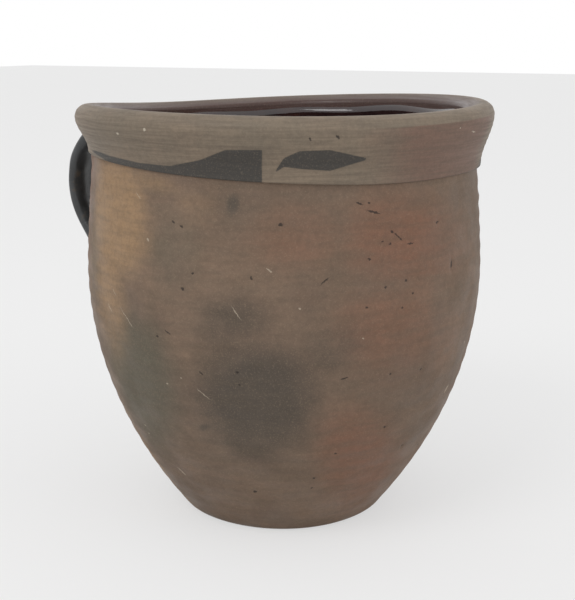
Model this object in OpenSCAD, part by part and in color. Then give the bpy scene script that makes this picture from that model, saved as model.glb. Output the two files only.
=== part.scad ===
// Redware crock: a wheel-thrown clay pot with a heavy collar, one pulled strap handle and a glazed inside.
// Millimetres. The origin is the middle of the base, +Z is up, and the handle stands towards -X.

/* [Body] */
// Height from the table to the top of the lip
height = 220; // [200:1:240]
// Diameter of the belly, where the wall is widest
belly_d = 212; // [206:1:218]
// Height of the belly above the table
belly_z = 135; // [125:1:145]
// Diameter that the wall comes down to at the table, before its edge is rubbed round
foot_d = 108; // [96:1:120]
// Radius of the rubbed edge round the base
foot_edge = 5; // [2:0.5:8]
// How full the wall is below the belly: 1 is a straight cone, 2 a parabola
fullness = 2.1; // [1.8:0.1:2.4]
// Diameter of the neck, where the wall goes in under the collar
neck_d = 205; // [202:1:206]
// Thickness of the wall at the belly and the neck
wall = 8; // [6:0.5:10]
// Thickness of the floor
floor_t = 10; // [8:0.5:12]
// Diameter that the inside wall comes down to at the floor
well_d = 100; // [90:1:104]

/* [Collar] */
// Diameter over the lip
collar_d = 220; // [216:1:226]
// Height of the collar, from its lower edge to the top of the lip
collar_h = 32; // [26:1:38]
// How far the collar's lower edge stands off the wall
collar_step = 1.4; // [1:0.1:2]
// Radius of the lip's outer roll
lip_roll = 6.5; // [5.5:0.5:7]
// Slope of the bevel inside the lip, in degrees
bevel_slope = 23; // [15:1:27]
// Radius of the edge where the bevel meets the inside wall
inner_edge = 2.5; // [1.5:0.5:3]
// How much of the collar stands above the end of the thrown wall
seat_depth = 14; // [12:1:16]

/* [Handle] */
// Height at which the strap leaves the collar
strap_top_z = 200; // [196:1:204]
// Height at which the strap comes back to the belly
strap_foot_z = 120; // [110:1:128]
// Width of the strap at its top
strap_w = 32; // [26:1:36]
// Thickness of the strap at its top
strap_t = 9.6; // [7:0.2:11]
// Part of its width and thickness that the strap loses towards its foot
strap_taper = 0.14; // [0:0.02:0.2]
// How far the upper bend is pulled out past the belly
upper_pull = 36; // [30:1:42]
// How far the upper bend rises over the top joint
upper_rise = 20; // [10:1:26]
// How far the lower bend is pulled out past the belly
lower_pull = 58; // [48:1:62]
// How far the lower bend lies over the foot joint
lower_rise = 28; // [20:1:34]

/* [Glaze] */
// Thickness of the glaze that lines the inside
glaze_t = 0.8; // [0.5:0.1:1.2]
// How far below the top of the lip the glaze ends
glaze_drop = 7; // [6.5:0.5:10]

/* [Hidden] */
$fn = 128;

belly_r = belly_d / 2;
foot_r = foot_d / 2;
neck_r = neck_d / 2;
mouth_r = neck_r - wall;
collar_r = collar_d / 2;
neck_z = height - collar_h;
seat_z = height - seat_depth;
glaze_top_z = height - glaze_drop;

// Points on each stretch of the turned outlines
wall_steps = 22;
neck_steps = 8;
floor_steps = 8;
band_steps = 9;
arc_steps = 8;

// How the shoulder draws in between the belly and the neck
shoulder_power = 1.4;
// Height of the rounded rise from the flat of the floor to the inside wall
rise_h = 12;

// How far inside the neck's radius the strap's path starts and ends, so that the pot cuts it to fit
strap_sink = 1;
// The strap's path: out from the axis and up, the four points of one Bezier curve in the handle's plane
strap_root_r = neck_r - strap_sink;
strap_path = [
    [strap_root_r, strap_top_z],
    [belly_r + upper_pull, strap_top_z + upper_rise],
    [belly_r + lower_pull, strap_foot_z + lower_rise],
    [strap_root_r, strap_foot_z]
];
strap_rings = 32;
strap_sides = 20;
// Roundness of the strap's section: 1 is an ellipse, less is squarer
strap_squareness = 0.7;

// Clay pressed round the strap's ends: how far it spreads to the sides, on the outer face and underneath
top_spread = [9, 5, 7];
foot_spread = [10, 12, 4];
// Number of the strap's rings that each cuff of clay covers, how steeply it thins, and how thin it ends
cuff_rings = 8;
cuff_power = 2.6;
cuff_edge = 0.06;

// Points of an arc about a centre, from one angle to another
function arc(centre, r, from, to, steps = arc_steps) = [
    for (i = [0 : steps])
        let (a = from + (to - from) * i / steps)
        centre + r * [cos(a), sin(a)]
];

// A blend from 0 to 1 that starts and ends level
function eased(t) = t * t * (3 - 2 * t);

// A turned wall's radius at a height: full below the belly, drawn in to the neck above it
function turned_r(z, low_z, low_r, wide_r, high_r) =
    z < belly_z
        ? wide_r - (wide_r - low_r) * pow((belly_z - z) / (belly_z - low_z), fullness)
        : wide_r - (wide_r - high_r) * pow(min(1, (z - belly_z) / (neck_z - belly_z)), shoulder_power);

function outer_r(z) = turned_r(z, 0, foot_r, belly_r, neck_r);
function inner_r(z) = turned_r(z, floor_t, well_d / 2, belly_r - wall, mouth_r);

// The rubbed edge of the base rolls from the table up to the wall's own lean
foot_lean = atan(fullness * (belly_r - foot_r) / belly_z);
foot_edge_z = foot_edge * (1 - sin(foot_lean));
foot_centre = [outer_r(foot_edge_z) - foot_edge * cos(foot_lean), foot_edge];

outer_line = concat(
    arc(foot_centre, foot_edge, -90, -foot_lean),
    [for (i = [1 : wall_steps]) let (z = foot_edge_z + (belly_z - foot_edge_z) * i / wall_steps) [outer_r(z), z]],
    [for (i = [1 : neck_steps]) let (z = belly_z + (neck_z - belly_z) * i / neck_steps) [outer_r(z), z]]
);

// The floor rises to the wall on a power curve that meets the wall at the wall's own slope
rise_z = floor_t + rise_h;
rise_r = inner_r(rise_z);
// Radius that the wall gains over one millimetre of height there
rise_lean = inner_r(rise_z + 0.5) - inner_r(rise_z - 0.5);
rise_power = rise_r / (rise_h * rise_lean);

inner_line = concat(
    [[0, floor_t]],
    [for (i = [1 : floor_steps])
        let (r = rise_r * sqrt(i / floor_steps))
        [r, floor_t + rise_h * pow(r / rise_r, rise_power)]],
    [for (i = [1 : wall_steps]) let (z = rise_z + (belly_z - rise_z) * i / wall_steps) [inner_r(z), z]],
    [for (i = [1 : neck_steps]) let (z = belly_z + (neck_z - belly_z) * i / neck_steps) [inner_r(z), z]],
    [[mouth_r, seat_z]]
);

// The lip: an outer roll, a straight bevel and a small inner edge, tangent to one another
roll_centre = [collar_r - lip_roll, height - lip_roll];
edge_x = mouth_r + inner_edge;
edge_lift = (lip_roll - inner_edge + sin(bevel_slope) * (edge_x - roll_centre[0])) / cos(bevel_slope);
edge_centre = [edge_x, roll_centre[1] + edge_lift];
band_low_r = neck_r + collar_step;

collar_outline = concat(
    arc([band_low_r - collar_step / 2, neck_z + collar_step / 2], collar_step / 2, -90, 0),
    [for (i = [1 : band_steps])
        let (t = i / band_steps, z = neck_z + collar_step + (roll_centre[1] - neck_z - collar_step) * t)
        [band_low_r + (collar_r - band_low_r) * eased(t), z]],
    arc(roll_centre, lip_roll, 90 / arc_steps, 90),
    arc(roll_centre, lip_roll, 90 + bevel_slope / 2, 90 + bevel_slope, 1),
    arc(edge_centre, inner_edge, 90 + bevel_slope, 180),
    [[mouth_r, glaze_top_z], [mouth_r, seat_z], [neck_r, seat_z], [neck_r, neck_z]]
);

// A line moved to its left by t, square to itself, with its ends moved along their own levels
function beside(line, t) = [
    for (i = [0 : len(line) - 1])
        i == 0 ? line[0] + [0, t] :
        i == len(line) - 1 ? line[i] - [t, 0] :
        let (d = line[i + 1] - line[i - 1])
        line[i] + t * [-d[1], d[0]] / norm(d)
];

function reversed(list) = [for (i = [len(list) - 1 : -1 : 0]) list[i]];

glaze_line = concat(inner_line, [[mouth_r, glaze_top_z]]);

// A point and the heading of a four-point Bezier curve
function on_curve(p, t) =
    pow(1 - t, 3) * p[0] + 3 * t * pow(1 - t, 2) * p[1] + 3 * t * t * (1 - t) * p[2] + pow(t, 3) * p[3];
function heading(p, t) =
    let (d = pow(1 - t, 2) * (p[1] - p[0]) + 2 * t * (1 - t) * (p[2] - p[1]) + t * t * (p[3] - p[2]))
    d / norm(d);

// A number raised to a power with its sign kept, for squared-off rounds
function signed_pow(v, p) = sign(v) * pow(abs(v), p);

// The ring of points round the strap's i-th section, from 0 at the collar, grown by a spread of clay
function strap_ring(i, spread = [0, 0, 0]) =
    let (t = i / (strap_rings - 1), c = on_curve(strap_path, t), h = heading(strap_path, t),
         size = 1 - strap_taper * t)
    [for (j = [0 : strap_sides - 1])
        let (a = 360 * j / strap_sides,
             half_t = size * strap_t / 2 + (sin(a) > 0 ? spread[1] : spread[2]),
             across = (size * strap_w / 2 + spread[0]) * signed_pow(cos(a), strap_squareness),
             off = half_t * signed_pow(sin(a), strap_squareness),
             p = c + off * [-h[1], h[0]])
        [-p[0], across, p[1]]];

// Faces between rings of equal count, pointing outwards, or inwards when turned
function skin(rings, sides, start = 0, turned = false) = [
    for (i = [0 : rings - 2], j = [0 : sides - 1], half = [0, 1])
        let (a = start + i * sides + j, b = start + i * sides + (j + 1) % sides,
             face = half == 0 ? [a, a + sides, b] : [b, a + sides, b + sides])
        turned ? reversed(face) : face
];

module strap() {
    points = [for (i = [0 : strap_rings - 1]) each strap_ring(i)];
    last = (strap_rings - 1) * strap_sides;
    polyhedron(points, concat(
        [[for (j = [0 : strap_sides - 1]) j]],
        skin(strap_rings, strap_sides),
        [[for (j = [strap_sides - 1 : -1 : 0]) last + j]]
    ), convexity = 6);
}

// A cuff of clay round the strap: its inside is the strap's own skin, its outside thins away from the pot
module cuff(first, spread, pot_ring) {
    sides = strap_sides;
    inner = cuff_rings * sides;
    last = inner - sides;
    points = concat(
        [for (i = [first : first + cuff_rings - 1])
            let (s = 1 - abs(i - pot_ring) / (cuff_rings - 1))
            each strap_ring(i, spread * (pow(s, cuff_power) + cuff_edge))],
        [for (i = [first : first + cuff_rings - 1]) each strap_ring(i)]
    );
    polyhedron(points, concat(
        skin(cuff_rings, sides),
        skin(cuff_rings, sides, inner, turned = true),
        [for (j = [0 : sides - 1]) let (k = (j + 1) % sides) [j, k, inner + k, inner + j]],
        [for (j = [0 : sides - 1]) let (k = (j + 1) % sides)
            [last + k, last + j, inner + last + j, inner + last + k]]
    ), convexity = 6);
}

// Everything inside the pot's outer face, which the handle's pieces are cut back to
module pot_envelope() {
    rotate_extrude()
        polygon(concat([[0, 0]], outer_line, [[neck_r, seat_z], [0, seat_z]]));
    rotate_extrude()
        polygon(concat([[0, neck_z]], collar_outline));
}

module thrown_body() {
    color("sienna")
        rotate_extrude()
            polygon(concat([[0, 0]], outer_line, [[neck_r, seat_z]], reversed(inner_line)));
}

module rim_collar() {
    color("rosybrown")
        rotate_extrude()
            polygon(collar_outline);
}

module strap_handle() {
    color("darkslategray")
        difference() {
            strap();
            pot_envelope();
        }
}

module handle_top_pad() {
    color("dimgray")
        difference() {
            cuff(0, top_spread, 0);
            pot_envelope();
        }
}

module handle_foot_pad() {
    color("dimgray")
        difference() {
            cuff(strap_rings - cuff_rings, foot_spread, strap_rings - 1);
            pot_envelope();
        }
}

module interior_glaze() {
    color("black")
        rotate_extrude()
            polygon(concat(glaze_line, reversed(beside(glaze_line, glaze_t))));
}

thrown_body();
rim_collar();
strap_handle();
handle_top_pad();
handle_foot_pad();
interior_glaze();
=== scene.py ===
import math

import bpy
import numpy as np
from mathutils import Matrix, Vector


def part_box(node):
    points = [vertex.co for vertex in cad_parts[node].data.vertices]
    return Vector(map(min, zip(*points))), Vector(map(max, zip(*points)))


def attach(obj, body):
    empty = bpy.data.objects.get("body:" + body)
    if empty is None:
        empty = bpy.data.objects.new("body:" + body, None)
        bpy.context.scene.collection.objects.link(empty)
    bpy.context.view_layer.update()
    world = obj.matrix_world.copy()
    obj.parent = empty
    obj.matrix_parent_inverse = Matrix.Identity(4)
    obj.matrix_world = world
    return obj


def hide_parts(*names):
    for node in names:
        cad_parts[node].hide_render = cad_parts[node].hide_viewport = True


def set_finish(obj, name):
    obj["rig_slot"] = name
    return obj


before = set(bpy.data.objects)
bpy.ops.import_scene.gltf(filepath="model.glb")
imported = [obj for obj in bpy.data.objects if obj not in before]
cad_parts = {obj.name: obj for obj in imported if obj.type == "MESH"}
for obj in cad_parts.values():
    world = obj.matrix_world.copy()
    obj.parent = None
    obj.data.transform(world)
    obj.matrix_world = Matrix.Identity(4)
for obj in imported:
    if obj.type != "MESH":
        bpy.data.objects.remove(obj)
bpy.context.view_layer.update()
print("stage: frame loaded")

# The place the pot is seen from; the focal length is in pixels of the 575 by 600 frame
photoCamera = {
    "distance": 0.620,
    "height": 0.258,
    "azimuth": 32.0,
    "aside": 0.0019,
    "pitch": 13.23,
    "pan": 0.08,
    "roll": -0.28,
    "focal": 1153.0,
    "frameSize": (575, 600),
    "sensor": 36.0,
}

# Sizes of the turned pot that the frame's boxes don't give, in metres
pot = {
    "bellyHeight": 0.135,
    "footRadius": 0.054,
    "footEdge": 0.005,
    "neckRadius": 0.1025,
    "wallThickness": 0.008,
    "wellRadius": 0.050,
    "fullness": 2.1,
    "shoulderPower": 1.4,
    "floorRise": 0.012,
    "floorCurve": 6.5,
}

wallLow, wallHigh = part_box("thrown_body")
collarLow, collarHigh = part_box("rim_collar")
glazeLow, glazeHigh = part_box("interior_glaze")
bellyRadius = (wallHigh.x - wallLow.x) / 2
collarRadius = (collarHigh.x - collarLow.x) / 2
rimHeight = collarHigh.z
neckHeight = collarLow.z
seatHeight = wallHigh.z
floorHeight = glazeLow.z
glazeTop = glazeHigh.z
mouthRadius = pot["neckRadius"] - pot["wallThickness"]


# A blend from 0 to 1 that starts and ends level: 3t squared less 2t cubed
def eased(t):
    t = np.clip(t, 0.0, 1.0)
    return t * t * (3 - 2 * t)


# Radius of a turned wall: wide less a power of the distance below the belly, or of that above it
def turnedRadius(z, lowZ, lowR, wideR, highR):
    below = np.clip((pot["bellyHeight"] - z) / (pot["bellyHeight"] - lowZ), 0, None)
    above = np.clip((z - pot["bellyHeight"]) / (neckHeight - pot["bellyHeight"]), 0, 1)
    return wideR - (wideR - lowR) * below ** pot["fullness"] - (wideR - highR) * above ** pot["shoulderPower"]


def outerRadius(z):
    return turnedRadius(z, 0.0, pot["footRadius"], bellyRadius, pot["neckRadius"])


def innerRadius(z):
    return turnedRadius(z, floorHeight, pot["wellRadius"], bellyRadius - pot["wallThickness"], mouthRadius)


# Smooth unevenness between about -1 and 1: a sum of waves round the pot and up it, with seeded phases
def unevenness(phi, z, seed, turns=6, rise=90.0, count=9):
    rng = np.random.default_rng(seed)
    total = np.zeros(np.broadcast(phi, z).shape)
    for n in range(count):
        total += np.sin(rng.integers(1, turns + 1) * phi + rng.uniform(-rise, rise) * z + rng.uniform(0, 2 * np.pi))
    return total / math.sqrt(count)


# How the hand-made pot leaves the true round: a lean, an oval mouth and a rim that waves and dips at the handle
handwork = {
    "leanAtRim": 0.0019,
    "leanTowards": 32.0,
    "rimWave": ((0.4, 0.0), (-1.2, 90.0), (0.9, 0.0), (1.0, 90.0)),
    "handleDip": 1.7,
    "dipAt": 168.0,
    "dipWidth": 34.0,
    "waveFrom": 0.150,
    "waveTo": 0.196,
}


# Height that the rim's wave adds at an azimuth, in metres: two waves a turn, two more, and a bell-shaped dip
def rimWave(phi):
    turned = phi - math.radians(photoCamera["azimuth"])
    one, two, three, four = (size for size, _ in handwork["rimWave"])
    wave = one * np.cos(turned) + two * np.sin(turned) + three * np.cos(2 * turned) + four * np.sin(2 * turned)
    away = np.angle(np.exp(1j * (phi - math.radians(handwork["dipAt"]))))
    return (wave - handwork["handleDip"] * np.exp(-(away / math.radians(handwork["dipWidth"])) ** 2)) * 0.001


# Moves true-round points to where the potter's hands left them: aside with height, and up or down at the rim
def handMade(points):
    moved = points.copy()
    phi = np.arctan2(points[..., 1], points[..., 0])
    share = points[..., 2] / rimHeight
    towards = math.radians(handwork["leanTowards"])
    moved[..., 0] += handwork["leanAtRim"] * share * math.cos(towards)
    moved[..., 1] += handwork["leanAtRim"] * share * math.sin(towards)
    rise = eased((points[..., 2] - handwork["waveFrom"]) / (handwork["waveTo"] - handwork["waveFrom"]))
    moved[..., 2] += rimWave(phi) * rise
    return moved


# The camera's place and its right, up and forward directions, as unit vectors
def cameraAxes():
    pitch, pan, roll, turn = (math.radians(photoCamera[k]) for k in ("pitch", "pan", "roll", "azimuth"))
    forward = np.array([math.sin(pan) * math.cos(pitch), math.cos(pan) * math.cos(pitch), -math.sin(pitch)])
    right = np.cross(forward, [0, 0, 1.0])
    right /= np.linalg.norm(right)
    up = np.cross(right, forward)
    right, up = (math.cos(roll) * right + math.sin(roll) * up, math.cos(roll) * up - math.sin(roll) * right)
    spin = np.array([[math.cos(turn), -math.sin(turn), 0], [math.sin(turn), math.cos(turn), 0], [0, 0, 1.0]])
    place = spin @ np.array([photoCamera["aside"], -photoCamera["distance"], photoCamera["height"]])
    return place, spin @ right, spin @ up, spin @ forward


cameraPlace, cameraRight, cameraUp, cameraForward = cameraAxes()
frameMiddle = (photoCamera["frameSize"][0] / 2, photoCamera["frameSize"][1] / 2)


# Photo pixel of each point: focal length times the sideways share of its depth
def toPixels(points):
    offset = points - cameraPlace
    depth = offset @ cameraForward
    across = frameMiddle[0] + photoCamera["focal"] * (offset @ cameraRight) / depth
    down = frameMiddle[1] - photoCamera["focal"] * (offset @ cameraUp) / depth
    return across, down


# Radius of the whole outside at a height: the wall, and the collar's flare above its lower edge
def outsideRadius(z):
    flare = eased((z - neckHeight) / (rimHeight - lip["roll"] - neckHeight))
    collar = pot["neckRadius"] + collarShape["step"] + (collarRadius - pot["neckRadius"] - collarShape["step"]) * flare
    return np.where(z > neckHeight, collar, outerRadius(z))


# First point that a pixel's ray meets on the outside of the pot, by stepping along it
def fromPixel(x, y):
    ray = cameraForward + (x - frameMiddle[0]) / photoCamera["focal"] * cameraRight
    ray = ray - (y - frameMiddle[1]) / photoCamera["focal"] * cameraUp
    reach = np.linspace(photoCamera["distance"] - 0.13, photoCamera["distance"] + 0.02, 1500)
    along = cameraPlace + reach[:, None] * ray
    lean = handwork["leanAtRim"] * along[:, 2] / rimHeight
    towards = math.radians(handwork["leanTowards"])
    radius = np.hypot(along[:, 0] - lean * math.cos(towards), along[:, 1] - lean * math.sin(towards))
    inside = np.nonzero(radius <= outsideRadius(np.clip(along[:, 2], 0, rimHeight)))[0]
    return along[inside[0]] if len(inside) else along[np.argmin(radius)]


# Makes a mesh of a grid of points, rows by columns; columns always join round, and poles or rows may close
def gridMesh(name, points, poleStart=False, poleEnd=False, joinRows=False, values=None):
    rows, cols = points.shape[:2]
    grid = np.arange(rows * cols).reshape(rows, cols)
    upper = np.roll(grid, -1, axis=0) if joinRows else grid[1:]
    lower = grid if joinRows else grid[:-1]
    quads = np.stack([lower, np.roll(lower, -1, 1), np.roll(upper, -1, 1), upper], -1).reshape(-1, 4)
    flat = points.reshape(-1, 3)
    fans = []
    for wanted, row, turned in ((poleStart, 0, False), (poleEnd, rows - 1, True)):
        if wanted:
            tip = np.full(cols, len(flat))
            flat = np.vstack([flat, points[row].mean(0)])
            edge, following = grid[row], np.roll(grid[row], -1)
            fans.append(np.stack([tip, edge, following] if turned else [tip, following, edge], -1))
    mesh = bpy.data.meshes.new(name)
    mesh.from_pydata(flat.tolist(), [], quads.tolist() + [f for fan in fans for f in fan.tolist()])
    mesh.update()
    mesh.shade_smooth()
    for key, value in (values or {}).items():
        layer = mesh.attributes.new(key, "FLOAT", "POINT")
        full = np.zeros(len(flat), np.float32)
        full[:rows * cols] = value.reshape(-1)
        layer.data.foreach_set("value", full)
    piece = bpy.data.objects.new(name, mesh)
    bpy.context.scene.collection.objects.link(piece)
    return piece


# Turned points: each profile point carried round the axis at every azimuth
def turnedGrid(radii, heights, phi):
    radii, heights = np.broadcast_arrays(radii, heights)
    if radii.ndim == 1:
        radii, heights = np.repeat(radii[:, None], len(phi), 1), np.repeat(heights[:, None], len(phi), 1)
    return np.stack([radii * np.cos(phi), radii * np.sin(phi), heights], -1)


# Azimuths round the pot, closer together on the side that the photograph shows: u less a share of its sine
def azimuths(count, crowding=0.35):
    seen = math.radians(photoCamera["azimuth"] - 90)
    u = np.linspace(0, 2 * np.pi, count, endpoint=False)
    return u + seen - crowding * np.sin(u)


# Share of a surface that faces the photograph's camera, from 0 at the outline to 1
def facing(points, normals):
    sight = cameraPlace - points
    sight /= np.linalg.norm(sight, axis=-1, keepdims=True)
    return eased((normals * sight).sum(-1) / 0.35)


# Normals of a grid from its differences along rows and columns
def gridNormals(points):
    alongCols = np.roll(points, -1, 1) - np.roll(points, 1, 1)
    alongRows = np.gradient(points, axis=0)
    normals = np.cross(alongCols, alongRows)
    return normals / np.maximum(np.linalg.norm(normals, axis=-1, keepdims=True), 1e-12)


# Soft spots on the photographed side: each is x, y, half width, half height in photo pixels, tilt and strength
def softSpots(points, normals, spots):
    across, down = toPixels(points)
    total = np.zeros(across.shape)
    for x, y, wide, tall, tilt, strength in spots.values():
        turn = math.radians(tilt)
        u = (across - x) * math.cos(turn) + (down - y) * math.sin(turn)
        v = (down - y) * math.cos(turn) - (across - x) * math.sin(turn)
        total = np.maximum(total, strength * np.exp(-((u / wide) ** 2 + (v / tall) ** 2) ** 1.3 * 0.7))
    return total * facing(points, normals)


# Stains of the side that the photograph doesn't show: raised peaks of smooth unevenness
def hiddenSpots(points, normals, seed, level=0.7):
    phi = np.arctan2(points[..., 1], points[..., 0])
    peaks = np.clip(unevenness(phi, points[..., 2], seed, 4, 28.0) - 0.2, 0, 1) * level
    return peaks * (1 - facing(points, normals))


# Marks in the surface of the photographed side: x, y in photo pixels, length and width in millimetres, tilt
pits = {
    "collarPit": (338.0, 137.4, 2.4, 1.3, 40),
    "collarFaint": (310.0, 139.0, 1.8, 1.0, 60),
    "ringPit": (183.0, 288.7, 2.0, 1.8, 0),
    "upperLeft": (193.4, 273.3, 1.4, 1.2, 0),
    "upperMiddle": (251.5, 278.2, 2.4, 1.0, 70),
    "underCollar": (280.6, 224.9, 2.2, 1.8, 0),
    "leftSide": (157.9, 336.4, 1.5, 1.2, 0),
    "rightHigh": (369.8, 259.3, 1.8, 1.1, 20),
    "rightMiddle": (386.6, 287.3, 1.6, 1.2, 0),
    "rightPair": (407.0, 280.7, 1.6, 1.2, 0),
    "lowPair": (367.3, 307.7, 1.5, 1.2, 0),
    "rightLow": (402.5, 308.0, 1.4, 1.1, 0),
    "rightDot": (413.3, 293.4, 1.3, 1.1, 0),
    "rightEdge": (437.8, 222.0, 2.2, 1.3, -20),
    "highDash": (360.0, 203.5, 4.2, 0.8, 20),
    "highSlit": (374.0, 212.0, 7.5, 1.0, 16),
    "highDot": (369.5, 203.0, 1.5, 1.0, 0),
    "squiggleStart": (393.0, 231.8, 2.2, 1.3, 25),
    "squiggleMiddle": (398.5, 236.5, 6.5, 0.8, 42),
    "squiggleEnd": (411.0, 243.6, 4.4, 0.8, 0),
    "squiggleBelow": (390.8, 243.8, 1.6, 1.0, 0),
    "besideSquiggle": (383.0, 241.7, 1.3, 1.0, 0),
    "tallSlit": (451.5, 264.5, 5.0, 1.3, 85),
    "middleSlash": (325.0, 281.5, 5.6, 0.9, -38),
    "lowDotOne": (390.4, 374.0, 1.4, 1.2, 0),
    "lowDotTwo": (421.0, 369.0, 1.4, 1.2, 0),
    "lowDotThree": (384.6, 427.0, 1.4, 1.2, 0),
    "lowDotFour": (402.4, 445.5, 1.6, 1.2, 0),
    "lowDotFive": (417.8, 444.2, 1.4, 1.1, 0),
    "lowMiddle": (335.5, 453.5, 1.5, 1.2, 0),
    "redPit": (255.2, 492.0, 1.8, 1.6, 0),
    "centreDot": (237.0, 373.0, 1.6, 1.2, 0),
    "centreDotLow": (239.0, 385.0, 1.3, 1.1, 0),
    "shortSlash": (201.0, 373.0, 2.6, 0.8, 45),
    "flatSlash": (344.5, 378.5, 4.4, 0.8, -10),
    "leftDash": (167.5, 332.0, 4.0, 0.8, 30),
    "baseDotOne": (313.8, 478.0, 1.4, 1.1, 0),
    "baseDotTwo": (311.9, 488.0, 1.3, 1.1, 0),
    "upperSpotOne": (174.0, 222.0, 2.0, 1.4, 20),
    "upperSpotTwo": (182.0, 226.5, 2.2, 1.2, 35),
}
flecks = {
    "whiteFleck": (149.0, 239.6, 1.6, 1.1, 30),
    "collarChip": (144.6, 129.7, 1.9, 1.5, 0),
    "collarSpot": (116.6, 133.6, 1.9, 1.2, 0),
    "collarRight": (460.6, 128.2, 1.1, 0.9, 0),
    "collarStreak": (474.0, 132.0, 5.0, 0.5, 10),
    "leftScratchHigh": (139.5, 195.8, 4.2, 0.5, 42),
    "leftScratchLow": (114.5, 292.5, 4.6, 0.5, 45),
    "leftScratchLong": (126.2, 317.0, 13.0, 0.5, 44),
    "leftNick": (110.0, 308.0, 5.2, 0.8, 48),
    "middleScratch": (236.2, 313.0, 8.5, 0.5, 56),
    "lowerScratch": (203.2, 394.0, 8.5, 0.6, 42),
    "centreNick": (269.2, 270.5, 3.2, 0.8, 38),
    "centreDot": (300.0, 309.0, 1.2, 1.0, 0),
    "lowNick": (167.7, 383.4, 1.6, 1.0, 20),
    "lowNickTwo": (181.0, 378.0, 1.4, 1.0, 0),
    "rightNick": (464.5, 342.0, 1.6, 1.0, 70),
    "middleNick": (363.5, 338.5, 1.2, 1.0, 0),
    "edgeNick": (145.5, 425.0, 1.4, 1.0, 0),
    "edgeNickTwo": (149.3, 432.7, 1.4, 1.0, 0),
    "edgeRub": (181.9, 471.0, 6.4, 1.2, 58),
    "rightRub": (446.5, 388.5, 5.0, 2.4, -65),
}


# Place and turned axes of a mark on the outside: its length lies along the tilt, its depth along the normal
def markFrame(x, y, tilt):
    place = fromPixel(x, y)
    phi = math.atan2(place[1], place[0])
    slope = float(outsideRadius(place[2] + 0.001) - outsideRadius(place[2] - 0.001)) / 0.002
    normal = np.array([math.cos(phi), math.sin(phi), -slope])
    normal /= np.linalg.norm(normal)
    level = np.array([-math.sin(phi), math.cos(phi), 0.0])
    rising = np.cross(normal, level)
    turn = math.radians(-tilt)
    along = level * math.cos(turn) + rising * math.sin(turn)
    return place, along, np.cross(normal, along), normal


# Dents the grid inwards at each mark that is wide enough for it to hold: a bell-shaped dip along the normal
def dented(points, normals, marks, depth=0.0006, least=1.2):
    moved = points.copy()
    for x, y, length, width, tilt in marks.values():
        if width < least:
            continue
        place, along, across, _ = markFrame(x, y, tilt)
        offset = points - place
        u = offset @ along / (length * 0.001)
        v = offset @ across / (width * 0.001)
        moved -= normals * (depth * np.exp(-(u * u + v * v) * 1.6) * (np.abs(offset).max(-1) < 0.02))[..., None]
    return moved


# An sRGB colour, as seen, in the linear values that a shader takes
def tone(red, green, blue):
    seen = np.array([red, green, blue]) / 255
    linear = np.where(seen <= 0.04045, seen / 12.92, ((seen + 0.055) / 1.055) ** 2.4)
    return (*linear.tolist(), 1.0)


# Adds a node, sets its properties, and joins or fills its inputs
def addNode(tree, kind, inputs=None, **properties):
    made = tree.nodes.new(kind)
    for key, value in properties.items():
        setattr(made, key, value)
    for key, value in (inputs or {}).items():
        if isinstance(value, bpy.types.NodeSocket):
            tree.links.new(value, made.inputs[key])
        else:
            made.inputs[key].default_value = value
    return made


# The answer of one sum on one or two values
def calc(tree, operation, a, b=0.0):
    return addNode(tree, "ShaderNodeMath", {0: a, 1: b}, operation=operation).outputs[0]


# Two colours mixed by a factor
def blended(tree, factor, under, over, mode="MIX"):
    return addNode(tree, "ShaderNodeMix", {0: factor, 6: under, 7: over}, data_type="RGBA", blend_type=mode).outputs[2]


# A value eased from one range into another
def between(tree, value, low, high, lowTo=0.0, highTo=1.0):
    inputs = {"Value": value, "From Min": low, "From Max": high, "To Min": lowTo, "To Max": highTo}
    return addNode(tree, "ShaderNodeMapRange", inputs, interpolation_type="SMOOTHSTEP").outputs[0]


def noise(tree, vector, scale, detail=3.0, roughness=0.5):
    inputs = {"Vector": vector, "Scale": scale, "Detail": detail, "Roughness": roughness}
    return addNode(tree, "ShaderNodeTexNoise", inputs).outputs["Fac"]


# Coordinates stretched along their axes, which squeezes a pattern on them
def stretched(tree, vector, scale):
    return addNode(tree, "ShaderNodeMapping", {"Vector": vector, "Scale": scale}).outputs[0]


# A value that the mesh carries at each point
def attribute(tree, name):
    return addNode(tree, "ShaderNodeAttribute", attribute_name=name).outputs["Fac"]


# An empty finish, with its nodes, its shader and the piece's own coordinates
def newMaterial(name):
    material = bpy.data.materials.new(name)
    material.use_nodes = True
    tree = material.node_tree
    shader = next(n for n in tree.nodes if n.type == "BSDF_PRINCIPLED")
    place = addNode(tree, "ShaderNodeTexCoord").outputs["Object"]
    return material, tree, shader, place


# Mask of all the marks of one kind: the nearest mark's distance in its own stretched frame, eased to 0 at its edge
def markMask(tree, place, marks, ragged):
    total = None
    for x, y, length, width, tilt in marks.values():
        spot, along, across, normal = markFrame(x, y, tilt)
        turn = Matrix([along, across, normal]).transposed().to_euler("XYZ")
        scale = (length * 0.0005, width * 0.0005, 0.004)
        inputs = {"Vector": ragged, "Location": spot.tolist(), "Rotation": turn, "Scale": scale}
        local = addNode(tree, "ShaderNodeMapping", inputs, vector_type="TEXTURE").outputs[0]
        length3 = addNode(tree, "ShaderNodeVectorMath", {0: local}, operation="LENGTH").outputs["Value"]
        mask = between(tree, length3, 1.25, 0.55)
        total = mask if total is None else calc(tree, "MAXIMUM", total, mask)
    return total


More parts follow.
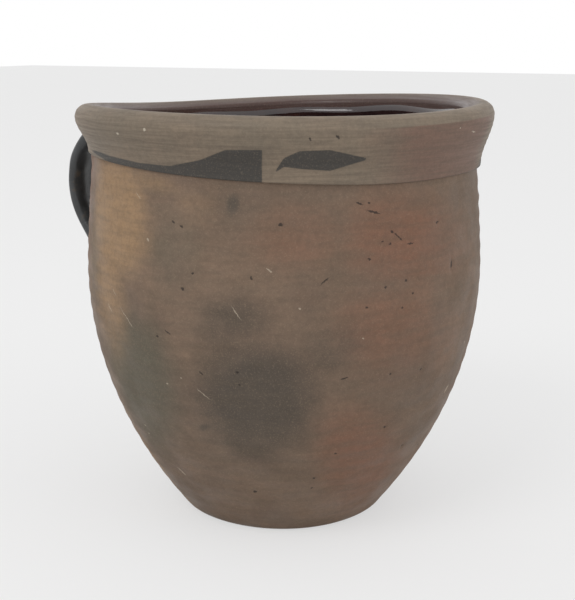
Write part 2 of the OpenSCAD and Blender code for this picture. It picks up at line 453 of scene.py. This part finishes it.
# Object coordinates shaken a little, so that round marks get ragged edges
def raggedPlace(tree, place, size=0.0004):
    shaken = addNode(tree, "ShaderNodeTexNoise", {"Vector": place, "Scale": 900.0, "Detail": 2.0}).outputs["Color"]
    centred = addNode(tree, "ShaderNodeVectorMath", {0: shaken, 1: (0.5, 0.5, 0.5)}, operation="SUBTRACT").outputs[0]
    scaled = addNode(tree, "ShaderNodeVectorMath", {0: centred, "Scale": size * 4}, operation="SCALE").outputs[0]
    return addNode(tree, "ShaderNodeVectorMath", {0: place, 1: scaled}, operation="ADD").outputs[0]


# The thrown wall: fired clay, smoked and rubbed
wallLook = {
    "columns": 560,
    "wallRows": 126,
    "ringPitch": 0.0085,
    "ringHeight": 0.00012,
    "shoulderRingAt": 0.171,
    "shoulderRingHeight": 0.0003,
    "shoulderRingWidth": 0.0011,
    "shoulderRingDrift": 0.0007,
    "unevenness": 0.00035,
    "tan": {
        "upperLeft": (118, 215, 26, 60, 0, 1.0),
        "leftLow": (112, 300, 16, 60, -8, 0.7),
        "underCollarLeft": (140, 180, 40, 10, 14, 0.6),
        "middleHigh": (205, 205, 30, 24, 0, 0.35),
    },
    "red": {
        "rightHigh": (400, 240, 60, 50, 0, 0.8),
        "rightMiddle": (390, 330, 60, 60, 0, 0.6),
        "lowerRight": (360, 455, 46, 50, -20, 0.7),
        "centreHigh": (300, 235, 60, 40, 0, 0.5),
    },
    "smoke": {
        "lowerCentre": (255, 400, 60, 56, 0, 1.0),
        "middle": (230, 320, 46, 30, 0, 0.6),
        "middleRight": (330, 350, 40, 26, -20, 0.5),
        "smear": (233, 205, 7, 10, 10, 0.9),
        "stain": (205, 427, 9, 5, -20, 0.8),
    },
    "olive": {
        "leftLow": (140, 380, 34, 70, -16, 0.9),
        "leftEdge": (92, 250, 10, 70, 0, 0.7),
        "upperMiddle": (175, 250, 26, 50, 0, 0.5),
    },
}


# Profile rows of the wall, from the middle of the base round the foot, up the outside and down the inside
def wallProfile():
    lean = math.atan(pot["fullness"] * (bellyRadius - pot["footRadius"]) / pot["bellyHeight"])
    edgeTop = pot["footEdge"] * (1 - math.sin(lean))
    edgeMiddle = float(outerRadius(edgeTop)) - pot["footEdge"] * math.cos(lean)
    baseR = edgeMiddle * np.linspace(0.06, 0.96, 9)
    arc = np.linspace(-math.pi / 2, -lean, 8)
    outZ = np.linspace(edgeTop, neckHeight, wallLook["wallRows"] + 1)[1:]
    topR = np.array([pot["neckRadius"], pot["neckRadius"], mouthRadius, mouthRadius])
    topZ = np.array([(neckHeight + seatHeight) / 2, seatHeight, seatHeight, (neckHeight + seatHeight) / 2])
    riseZ = floorHeight + pot["floorRise"]
    inZ = np.linspace(neckHeight, riseZ, 13)
    riseR = float(innerRadius(riseZ))
    floorR = riseR * np.linspace(0.9, 0.1, 5)
    floorZ = floorHeight + pot["floorRise"] * (floorR / riseR) ** pot["floorCurve"]
    radii = np.concatenate([baseR, edgeMiddle + pot["footEdge"] * np.cos(arc), outerRadius(outZ), topR,
                            innerRadius(inZ), floorR])
    heights = np.concatenate([0 * baseR, pot["footEdge"] * (1 + np.sin(arc)), outZ, topZ, inZ, floorZ])
    hidden = np.zeros(len(topZ) + len(inZ) + len(floorZ))
    outside = np.concatenate([0 * baseR, np.linspace(0, 1, len(arc)), np.ones(len(outZ)), hidden])
    return radii, heights, outside


# The wall's points: turned, with a shallow spiral of throwing rings, one raised ring and soft unevenness
def thrownWall():
    radii, heights, outside = wallProfile()
    phi = azimuths(wallLook["columns"])
    ring = np.sin(2 * np.pi * heights[:, None] / wallLook["ringPitch"] + phi)
    wander = 1 + 0.5 * unevenness(phi, heights[:, None], 11)
    drift = wallLook["shoulderRingDrift"] * np.sin(phi)
    away = (heights[:, None] - wallLook["shoulderRingAt"] - drift) / wallLook["shoulderRingWidth"]
    off = wallLook["ringHeight"] * ring * wander + wallLook["shoulderRingHeight"] * np.exp(-away ** 2)
    off = off + wallLook["unevenness"] * unevenness(phi, heights[:, None], 5, 5, 50.0)
    points = turnedGrid(radii[:, None] + off * outside[:, None], heights[:, None] + 0 * phi, phi)
    points = handMade(points)
    normals = gridNormals(points)
    points = dented(points, normals, pits)
    values = {
        "tan": softSpots(points, normals, wallLook["tan"]) + hiddenSpots(points, normals, 21),
        "red": softSpots(points, normals, wallLook["red"]) + hiddenSpots(points, normals, 22),
        "smoke": softSpots(points, normals, wallLook["smoke"]) + hiddenSpots(points, normals, 23),
        "olive": softSpots(points, normals, wallLook["olive"]) + hiddenSpots(points, normals, 24),
    }
    piece = gridMesh("thrown_wall", points, poleStart=True, poleEnd=True, values=values)
    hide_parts("thrown_body")
    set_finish(piece, "bare_clay")
    return piece


# A stain's edge broken by noise: its attribute plus a share of a noise, eased between two levels
def brokenStain(tree, name, rough, low=0.3, high=0.75, share=0.35):
    shaken = calc(tree, "MULTIPLY", calc(tree, "SUBTRACT", rough, 0.5), share * 2)
    return between(tree, calc(tree, "ADD", attribute(tree, name), shaken), low, high)


# Fired clay: stains by their attributes, over banded, speckled and grainy clay, then marks
def clayMaterial():
    material, tree, shader, place = newMaterial("bareClay")
    bands = noise(tree, stretched(tree, place, (1, 1, 7)), 40.0, 4.0, 0.6)
    blotch = noise(tree, place, 26.0, 5.0, 0.6)
    patches = noise(tree, place, 60.0, 4.0, 0.55)
    grain = noise(tree, place, 1400.0, 2.0, 0.6)
    speckle = noise(tree, place, 420.0, 3.0, 0.7)
    colour = blended(tree, between(tree, blotch, 0.3, 0.7), tone(112, 93, 78), tone(128, 106, 88))
    colour = blended(tree, brokenStain(tree, "red", blotch, 0.1, 0.9), colour, tone(128, 92, 73))
    colour = blended(tree, brokenStain(tree, "olive", patches, 0.1, 0.9), colour, tone(98, 92, 78))
    colour = blended(tree, brokenStain(tree, "tan", blotch, 0.1, 0.9), colour, tone(158, 128, 96))
    colour = blended(tree, brokenStain(tree, "smoke", patches, 0.1, 0.9), colour, tone(82, 73, 64))
    colour = blended(tree, between(tree, bands, 0.35, 0.7, 0.0, 0.35), colour, tone(96, 84, 70))
    colour = blended(tree, between(tree, speckle, 0.35, 0.7, 0.0, 0.22), colour, tone(70, 60, 52))
    colour = blended(tree, between(tree, grain, 0.5, 0.75, 0.0, 0.2), colour, tone(168, 146, 122))
    ragged = raggedPlace(tree, place)
    dark = markMask(tree, place, pits, ragged)
    light = markMask(tree, place, flecks, ragged)
    colour = blended(tree, calc(tree, "MULTIPLY", dark, 0.85), colour, tone(42, 34, 30))
    colour = blended(tree, calc(tree, "MULTIPLY", light, 0.6), colour, tone(186, 172, 152))
    height = calc(tree, "ADD", calc(tree, "MULTIPLY", grain, 0.5), calc(tree, "MULTIPLY", speckle, 0.5))
    height = calc(tree, "ADD", height, calc(tree, "MULTIPLY", bands, 0.6))
    bump = addNode(tree, "ShaderNodeBump", {"Height": height, "Strength": 0.35, "Distance": 0.0004})
    roughness = between(tree, patches, 0.3, 0.7, 0.52, 0.72)
    tree.links.new(colour, shader.inputs["Base Color"])
    tree.links.new(roughness, shader.inputs["Roughness"])
    tree.links.new(bump.outputs[0], shader.inputs["Normal"])
    shader.inputs["Specular IOR Level"].default_value = 0.35
    return material


# The collar: a band of clay folded outwards, its lower edge waving, with a rolled lip and a bevel inside
collarShape = {
    "columns": 560,
    "step": 0.0014,
    "edgeRise": 0.0075,
    "edgeRiseAt": 218.0,
    "edgeRiseWidth": 62.0,
    "edgeWaver": 0.0006,
    "wipeLines": 0.00006,
    "wipePitch": 0.0031,
    "unevenness": 0.00025,
    "bandRows": 42,
    "backRunHeight": 0.012,
    "redFrom": 330,
    "redOver": 120,
}
lip = {"roll": 0.0065, "bevelSlope": 23.0, "innerEdge": 0.0025, "innerBlend": 0.004}
# The dark run on the collar, in photo pixels: its upper and lower edge at a few places across
darkRun = {
    "leftTop": ((92, 149), (110, 156), (140, 163), (170, 166), (200, 160), (225, 150), (262, 150)),
    "leftBottom": ((92, 152), (110, 163), (140, 172), (170, 179), (200, 185), (240, 188), (262, 184)),
    "middleTop": ((276, 170), (284, 158), (300, 151), (330, 150), (366, 158)),
    "middleBottom": ((276, 172), (284, 167), (300, 169), (330, 171), (366, 160)),
}


# Height of the collar's lower edge at an azimuth: level, with one long rise and a small waver
def collarEdge(phi):
    away = np.angle(np.exp(1j * (phi - math.radians(collarShape["edgeRiseAt"]))))
    rise = collarShape["edgeRise"] * np.exp(-(away / math.radians(collarShape["edgeRiseWidth"])) ** 2)
    return neckHeight + rise + collarShape["edgeWaver"] * unevenness(phi, np.zeros(1), 8, 7)


# Rows of the collar's section at every azimuth: edge, band, lip roll, bevel, inner edge, then back inside
def collarSection(phi):
    low = collarEdge(phi)
    step = collarShape["step"] / 2
    bandLow = pot["neckRadius"] + collarShape["step"]
    slope = math.radians(lip["bevelSlope"])
    rollR, rollZ = collarRadius - lip["roll"], rimHeight - lip["roll"]
    edgeR = mouthRadius + lip["innerEdge"]
    lift = (lip["roll"] - lip["innerEdge"] + math.sin(slope) * (edgeR - rollR)) / math.cos(slope)
    ones = np.ones_like(phi)
    rows = []
    for a in np.radians(np.linspace(-90, 0, 6)):
        rows.append(((bandLow - step + step * math.cos(a)) * ones, low + step + step * math.sin(a)))
    for t in np.linspace(0, 1, 36)[1:]:
        z = low + 2 * step + (rollZ - low - 2 * step) * t
        rows.append(((bandLow + (collarRadius - bandLow) * eased(t)) * ones, z))
    for a in np.radians(np.linspace(8, 90 + lip["bevelSlope"], 16)):
        rows.append(((rollR + lip["roll"] * math.cos(a)) * ones, (rollZ + lip["roll"] * math.sin(a)) * ones))
    for a in np.radians(np.linspace(90 + lip["bevelSlope"], 180, 9)):
        rows.append(((edgeR + lip["innerEdge"] * math.cos(a)) * ones,
                     (rollZ + lift + lip["innerEdge"] * math.sin(a)) * ones))
    for z in (glazeTop - 0.003, seatHeight):
        rows.append((mouthRadius * ones, z * ones))
    for z in (seatHeight, (seatHeight + neckHeight) / 2):
        rows.append(((pot["neckRadius"] + 0.0002) * ones, np.maximum(z, low + 0.0005)))
    rows.append(((pot["neckRadius"] - 0.0004) * ones, low))
    return np.array([r for r, _ in rows]), np.array([z for _, z in rows])


# Inside a band in the photograph between an upper and a lower edge, each joined by straight lines, softened
def bandMask(across, down, top, bottom, soft=2.0):
    topX, topY = np.array(top).T
    bottomX, bottomY = np.array(bottom).T
    under = (down - np.interp(across, topX, topY)) / soft
    over = (np.interp(across, bottomX, bottomY) - down) / soft
    ends = np.minimum(across - topX[0], topX[-1] - across) / soft
    return eased(np.minimum(np.minimum(under, over), ends) * 0.5 + 0.5)


# The collar's points: its section at every azimuth, uneven, with faint wiping lines round it
def rimCollar():
    phi = azimuths(collarShape["columns"])
    radii, heights = collarSection(phi)
    off = collarShape["unevenness"] * unevenness(phi, heights, 6, 6, 120.0)
    off = off + collarShape["wipeLines"] * np.sin(heights * 2 * np.pi / collarShape["wipePitch"] + 2 * phi)
    points = handMade(turnedGrid(radii + off, heights, phi))
    normals = gridNormals(points)
    points = dented(points, normals, pits)
    across, down = toPixels(points)
    onBand = (np.arange(len(points)) < collarShape["bandRows"])[:, None]
    seen = facing(points, normals) * onBand
    run = np.maximum(bandMask(across, down, darkRun["leftTop"], darkRun["leftBottom"]),
                     bandMask(across, down, darkRun["middleTop"], darkRun["middleBottom"]))
    edgeOfBack = (heights - collarEdge(phi)) / collarShape["backRunHeight"]
    backRun = eased(1.3 - edgeOfBack + unevenness(phi, heights, 31, 5, 60.0)) * (1 - facing(points, normals))
    inner = np.clip((collarRadius - lip["roll"] - radii) / lip["innerBlend"], 0, 1)
    values = {
        "run": np.maximum(run * seen, backRun * onBand),
        "inner": inner,
        "red": eased((across - collarShape["redFrom"]) / collarShape["redOver"]) * seen,
    }
    piece = gridMesh("collar_ring", points, joinRows=True, values=values)
    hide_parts("rim_collar")
    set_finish(piece, "collar_clay")
    return piece


# Wiped clay: redder to one side, with the dark run and a brown inner lip, then marks
def collarMaterial():
    material, tree, shader, place = newMaterial("collarClay")
    wiped = noise(tree, stretched(tree, place, (1, 1, 24)), 34.0, 5.0, 0.65)
    blotch = noise(tree, place, 34.0, 5.0, 0.6)
    grain = noise(tree, place, 1400.0, 2.0, 0.6)
    speckle = noise(tree, place, 420.0, 3.0, 0.7)
    colour = blended(tree, between(tree, blotch, 0.3, 0.7), tone(122, 110, 94), tone(134, 118, 100))
    colour = blended(tree, brokenStain(tree, "red", blotch, 0.1, 0.9), colour, tone(120, 93, 79))
    colour = blended(tree, between(tree, wiped, 0.35, 0.7, 0.0, 0.5), colour, tone(96, 86, 76))
    colour = blended(tree, brokenStain(tree, "run", wiped, 0.25, 0.75, 0.15), colour, tone(62, 59, 55))
    colour = blended(tree, attribute(tree, "inner"), colour, tone(72, 48, 42))
    colour = blended(tree, between(tree, speckle, 0.35, 0.7, 0.0, 0.2), colour, tone(66, 58, 50))
    colour = blended(tree, between(tree, grain, 0.5, 0.75, 0.0, 0.18), colour, tone(160, 142, 122))
    ragged = raggedPlace(tree, place)
    dark = markMask(tree, place, {k: v for k, v in pits.items() if k.startswith("collar")}, ragged)
    light = markMask(tree, place, {k: v for k, v in flecks.items() if k.startswith("collar")}, ragged)
    colour = blended(tree, calc(tree, "MULTIPLY", dark, 0.85), colour, tone(42, 34, 30))
    colour = blended(tree, calc(tree, "MULTIPLY", light, 0.75), colour, tone(200, 190, 172))
    height = calc(tree, "ADD", calc(tree, "MULTIPLY", grain, 0.4), calc(tree, "MULTIPLY", speckle, 0.4))
    height = calc(tree, "ADD", height, calc(tree, "MULTIPLY", wiped, 0.9))
    bump = addNode(tree, "ShaderNodeBump", {"Height": height, "Strength": 0.35, "Distance": 0.0004})
    roughness = between(tree, wiped, 0.3, 0.7, 0.5, 0.66)
    roughness = calc(tree, "SUBTRACT", roughness, calc(tree, "MULTIPLY", attribute(tree, "inner"), 0.2))
    tree.links.new(colour, shader.inputs["Base Color"])
    tree.links.new(roughness, shader.inputs["Roughness"])
    tree.links.new(bump.outputs[0], shader.inputs["Normal"])
    shader.inputs["Specular IOR Level"].default_value = 0.4
    return material


# The glaze lining: a film inside, over the floor and up the wall, its top edge uneven
glazeLook = {"columns": 420, "film": 0.0008, "edgeWaver": 0.0009, "ripple": 0.00012}


# Rows from the middle of the floor up the inside to the glaze's edge, and back down behind the film
def glazeLining():
    phi = azimuths(glazeLook["columns"], 0.0)
    riseZ = floorHeight + pot["floorRise"]
    riseR = float(innerRadius(riseZ))
    floorR = riseR * np.linspace(0.08, 1, 16)
    floorZ = floorHeight + pot["floorRise"] * (floorR / riseR) ** pot["floorCurve"]
    wallZ = np.linspace(riseZ, glazeTop, 56)[1:]
    radii = np.concatenate([floorR, innerRadius(wallZ)])
    heights = np.concatenate([floorZ, wallZ])
    film = glazeLook["film"]
    rise = np.linspace(0, 1, len(heights))[:, None]
    topEdge = glazeLook["edgeWaver"] * unevenness(phi, np.zeros(1), 15, 9) * eased((rise - 0.8) / 0.2)
    ripple = glazeLook["ripple"] * unevenness(phi, heights[:, None], 16, 14, 160.0)
    slopeR, slopeZ = np.gradient(radii), np.gradient(heights)
    size = np.hypot(slopeR, slopeZ)
    towardsR, towardsZ = -slopeZ / size, slopeR / size
    front = turnedGrid(radii[:, None] + towardsR[:, None] * (film + ripple),
                       heights[:, None] + towardsZ[:, None] * (film + ripple) + topEdge, phi)
    back = turnedGrid(radii[::-5, None] + 0.0001 + 0 * phi, heights[::-5, None] - 0.0001 + topEdge[::-5], phi)
    piece = gridMesh("glaze_lining", handMade(np.vstack([front, back])), poleStart=True, poleEnd=True)
    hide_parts("interior_glaze")
    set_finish(piece, "inside_glaze")
    return piece


# Gloss glaze: dark and cloudy, browner where it is thin
def insideGlazeMaterial():
    material, tree, shader, place = newMaterial("insideGlaze")
    cloud = noise(tree, place, 30.0, 4.0, 0.6)
    thin = noise(tree, stretched(tree, place, (1, 1, 3)), 90.0, 4.0, 0.6)
    peel = noise(tree, place, 260.0, 3.0, 0.55)
    colour = blended(tree, between(tree, cloud, 0.3, 0.7), tone(34, 22, 24), tone(56, 36, 34))
    colour = blended(tree, between(tree, thin, 0.6, 0.8, 0.0, 0.6), colour, tone(96, 58, 42))
    bump = addNode(tree, "ShaderNodeBump", {"Height": peel, "Strength": 0.25, "Distance": 0.0006})
    tree.links.new(colour, shader.inputs["Base Color"])
    tree.links.new(bump.outputs[0], shader.inputs["Normal"])
    shader.inputs["Roughness"].default_value = 0.12
    shader.inputs["Coat Weight"].default_value = 0.6
    shader.inputs["Coat Roughness"].default_value = 0.05
    return material


# The strap handle: a flattened pull of clay on one Bezier curve in the handle's plane, out from the axis and up
strapShape = {
    "path": ((0.1015, 0.200), (0.142, 0.220), (0.164, 0.148), (0.1015, 0.120)),
    "rings": 150,
    "sides": 72,
    "width": 0.032,
    "thickness": 0.0096,
    "taper": 0.14,
    "squareness": 0.7,
    "groove": 0.0005,
    "lumps": 0.0003,
    "ripples": 0.00018,
    "sideShare": 1.6,
}


# Points round the strap along its path: a squared ellipse across it, tapering, with two faint finger grooves
def strapRings(t, spread=(0.0, 0.0, 0.0), shrink=0.0):
    corner = np.array(strapShape["path"])
    t = t[:, None]
    middle = (1 - t) ** 3 * corner[0] + 3 * t * (1 - t) ** 2 * corner[1]
    middle = middle + 3 * t * t * (1 - t) * corner[2] + t ** 3 * corner[3]
    heading = (1 - t) ** 2 * (corner[1] - corner[0]) + 2 * t * (1 - t) * (corner[2] - corner[1])
    heading = heading + t * t * (corner[3] - corner[2])
    heading /= np.linalg.norm(heading, axis=1, keepdims=True)
    a = np.linspace(0, 2 * np.pi, strapShape["sides"], endpoint=False)
    squared = strapShape["squareness"]
    size = 1 - strapShape["taper"] * t
    outer = np.sin(a) > 0
    thick = size * strapShape["thickness"] / 2 + np.where(outer, spread[1], spread[2]) - shrink
    wide = size * strapShape["width"] / 2 + spread[0] - shrink
    across = wide * np.sign(np.cos(a)) * np.abs(np.cos(a)) ** squared
    off = thick * np.sign(np.sin(a)) * np.abs(np.sin(a)) ** squared
    groove = strapShape["groove"] * np.cos(3 * np.pi * across / wide * 0.5) * np.sin(a)
    off = off - groove * (shrink == 0)
    uneven = strapShape["lumps"] * unevenness(a, t / 10, 41, 3, 180.0)
    uneven = uneven + strapShape["ripples"] * unevenness(a, t / 10, 42, 5, 420.0)
    off = off + uneven * np.sin(a)
    across = across + strapShape["sideShare"] * uneven * np.cos(a)
    out = middle[:, :1] - heading[:, 1:] * off
    up = middle[:, 1:] + heading[:, :1] * off
    return np.stack([-out, across, up], -1)


# The strap's points: its rings from the upper joint to the lower one, closed at both ends
def strapHandle():
    points = handMade(strapRings(np.linspace(0, 1, strapShape["rings"])))
    piece = gridMesh("pulled_strap", points, poleStart=True, poleEnd=True)
    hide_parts("strap_handle")
    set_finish(piece, "handle_glaze")
    return piece


# Clay pressed round the strap's ends: how far it spreads sideways, on the outer face and underneath, in metres
clayPads = {
    "top_pad": {"node": "handle_top_pad", "from": 0.0, "to": 0.24, "spread": (0.009, 0.005, 0.007)},
    "foot_pad": {"node": "handle_foot_pad", "from": 1.0, "to": 0.76, "spread": (0.010, 0.012, 0.004)},
}
padShape = {"rings": 40, "swell": 2.6, "sunk": 0.0012}


# A sleeve on the strap that swells towards the pot by a power of the way there, and thins to nothing at its other end
def clayPad(name, settings):
    way = np.linspace(0, 1, padShape["rings"])
    t = settings["from"] + (settings["to"] - settings["from"]) * way
    swell = (1 - way) ** padShape["swell"]
    rings = []
    for share, place in zip(swell, t):
        spread = tuple(s * share for s in settings["spread"])
        rings.append(strapRings(np.array([place]), spread)[0])
    outer = np.array(rings)
    inner = strapRings(t[::-3], shrink=padShape["sunk"])
    points = np.vstack([outer, inner])
    if settings["from"] > settings["to"]:
        points = points[:, ::-1]
    piece = gridMesh(name, handMade(points), joinRows=True)
    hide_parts(settings["node"])
    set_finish(piece, "handle_glaze")
    return piece


# Dark glaze on the strap: cloudy and lumpy, brown and duller where it is worn
def handleGlazeMaterial():
    material, tree, shader, place = newMaterial("handleGlaze")
    cloud = noise(tree, place, 60.0, 4.0, 0.6)
    lumps = noise(tree, place, 240.0, 3.0, 0.5)
    worn = noise(tree, place, 120.0, 5.0, 0.65)
    colour = blended(tree, between(tree, cloud, 0.3, 0.7), tone(44, 45, 46), tone(64, 66, 68))
    colour = blended(tree, between(tree, worn, 0.58, 0.72, 0.0, 0.7), colour, tone(84, 72, 60))
    bump = addNode(tree, "ShaderNodeBump", {"Height": lumps, "Strength": 0.3, "Distance": 0.0006})
    tree.links.new(colour, shader.inputs["Base Color"])
    tree.links.new(bump.outputs[0], shader.inputs["Normal"])
    tree.links.new(between(tree, worn, 0.4, 0.7, 0.28, 0.5), shader.inputs["Roughness"])
    return material


# A pale floor and a white surround; where the camera, or a shiny surface, sees them they are near white
studio = {
    "floorHalf": 6.0,
    "floorTone": (226, 226, 226),
    "surround": 0.75,
    "floorGlow": 0.55,
    "lampSize": (0.9, 0.9),
    "lampTarget": (0, 0, 0.12),
    "keyPlace": (-0.9, -1.1, 1.5),
    "keyPower": 9.0,
    "fillPlace": (1.3, -0.9, 0.9),
    "fillPower": 3.0,
}


# Is 1 where the camera, or a shiny or clear surface, sees the stage, and 0 for its light
def seenDirectly(tree):
    path = addNode(tree, "ShaderNodeLightPath")
    either = calc(tree, "MAXIMUM", path.outputs["Is Camera Ray"], path.outputs["Is Glossy Ray"])
    return calc(tree, "MAXIMUM", either, path.outputs["Is Transmission Ray"])


# The floor and the white surround
def buildStage():
    half = studio["floorHalf"]
    corners = [(-half, -half, 0), (half, -half, 0), (half, half, 0), (-half, half, 0)]
    mesh = bpy.data.meshes.new("floor")
    mesh.from_pydata(corners, [], [(0, 1, 2, 3)])
    floor = bpy.data.objects.new("floor", mesh)
    bpy.context.scene.collection.objects.link(floor)
    material = bpy.data.materials.new("paleFloor")
    material.use_nodes = True
    tree = material.node_tree
    shader = next(n for n in tree.nodes if n.type == "BSDF_PRINCIPLED")
    shader.inputs["Base Color"].default_value = tone(*studio["floorTone"])
    shader.inputs["Roughness"].default_value = 0.9
    white = addNode(tree, "ShaderNodeEmission", {"Color": (1, 1, 1, 1), "Strength": 1.0})
    share = calc(tree, "MULTIPLY", seenDirectly(tree), studio["floorGlow"])
    mix = addNode(tree, "ShaderNodeMixShader", {0: share, 1: shader.outputs[0], 2: white.outputs[0]})
    out = next(n for n in tree.nodes if n.type == "OUTPUT_MATERIAL")
    tree.links.new(mix.outputs[0], out.inputs["Surface"])
    floor.data.materials.append(material)

    world = bpy.data.worlds.new("surround")
    world.use_nodes = True
    tree = world.node_tree
    backdrop = next(n for n in tree.nodes if n.type == "BACKGROUND")
    backdrop.inputs["Color"].default_value = (1, 1, 1, 1)
    level = between(tree, seenDirectly(tree), 0.0, 1.0, studio["surround"], 1.0)
    tree.links.new(level, backdrop.inputs["Strength"])
    bpy.context.scene.world = world


# An area lamp at a place, turned to face another
def addLamp(name, place, target, size, power):
    data = bpy.data.lights.new(name, "AREA")
    data.shape = "RECTANGLE"
    data.size, data.size_y = size
    data.energy = power
    lamp = bpy.data.objects.new(name, data)
    back = np.array(place, float) - np.array(target, float)
    back /= np.linalg.norm(back)
    right = np.cross([0, 0, 1.0], back)
    right /= np.linalg.norm(right)
    turn = Matrix(np.stack([right, np.cross(back, right), back], -1).tolist()).to_4x4()
    lamp.matrix_world = Matrix.Translation(place) @ turn
    bpy.context.scene.collection.objects.link(lamp)
    return lamp


# A lamp's place is metres to the camera's right of the pot, beyond it, and above the floor
def buildLights():
    side = cameraRight * np.array([1, 1, 0])
    front = cameraForward * np.array([1, 1, 0])
    for name in ("key", "fill"):
        right, beyond, above = studio[name + "Place"]
        place = right * side + beyond * front + np.array([0, 0, above])
        addLamp(name, place, studio["lampTarget"], studio["lampSize"], studio[name + "Power"])


# The camera, from its place, its axes and its focal length
def buildCamera():
    data = bpy.data.cameras.new("photoCamera")
    data.sensor_width = photoCamera["sensor"]
    data.lens = photoCamera["focal"] * photoCamera["sensor"] / max(photoCamera["frameSize"])
    data.clip_end = 50
    camera = bpy.data.objects.new("photoCamera", data)
    turn = Matrix(np.stack([cameraRight, cameraUp, -cameraForward], -1).tolist()).to_4x4()
    camera.matrix_world = Matrix.Translation(cameraPlace.tolist()) @ turn
    bpy.context.scene.collection.objects.link(camera)
    bpy.context.scene.camera = camera


bpy.context.scene.view_settings.view_transform = "Standard"
buildCamera()
buildStage()
buildLights()
print("stage: camera, floor and lamps")

finishes = {
    "bare_clay": clayMaterial(),
    "collar_clay": collarMaterial(),
    "inside_glaze": insideGlazeMaterial(),
    "handle_glaze": handleGlazeMaterial(),
}
made = [thrownWall(), rimCollar(), glazeLining(), strapHandle()]
made += [clayPad(name, settings) for name, settings in clayPads.items()]
for piece in made:
    piece.data.materials.append(finishes[piece["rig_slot"]])
    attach(piece, "root")
print("stage:", len(made), "pieces made")
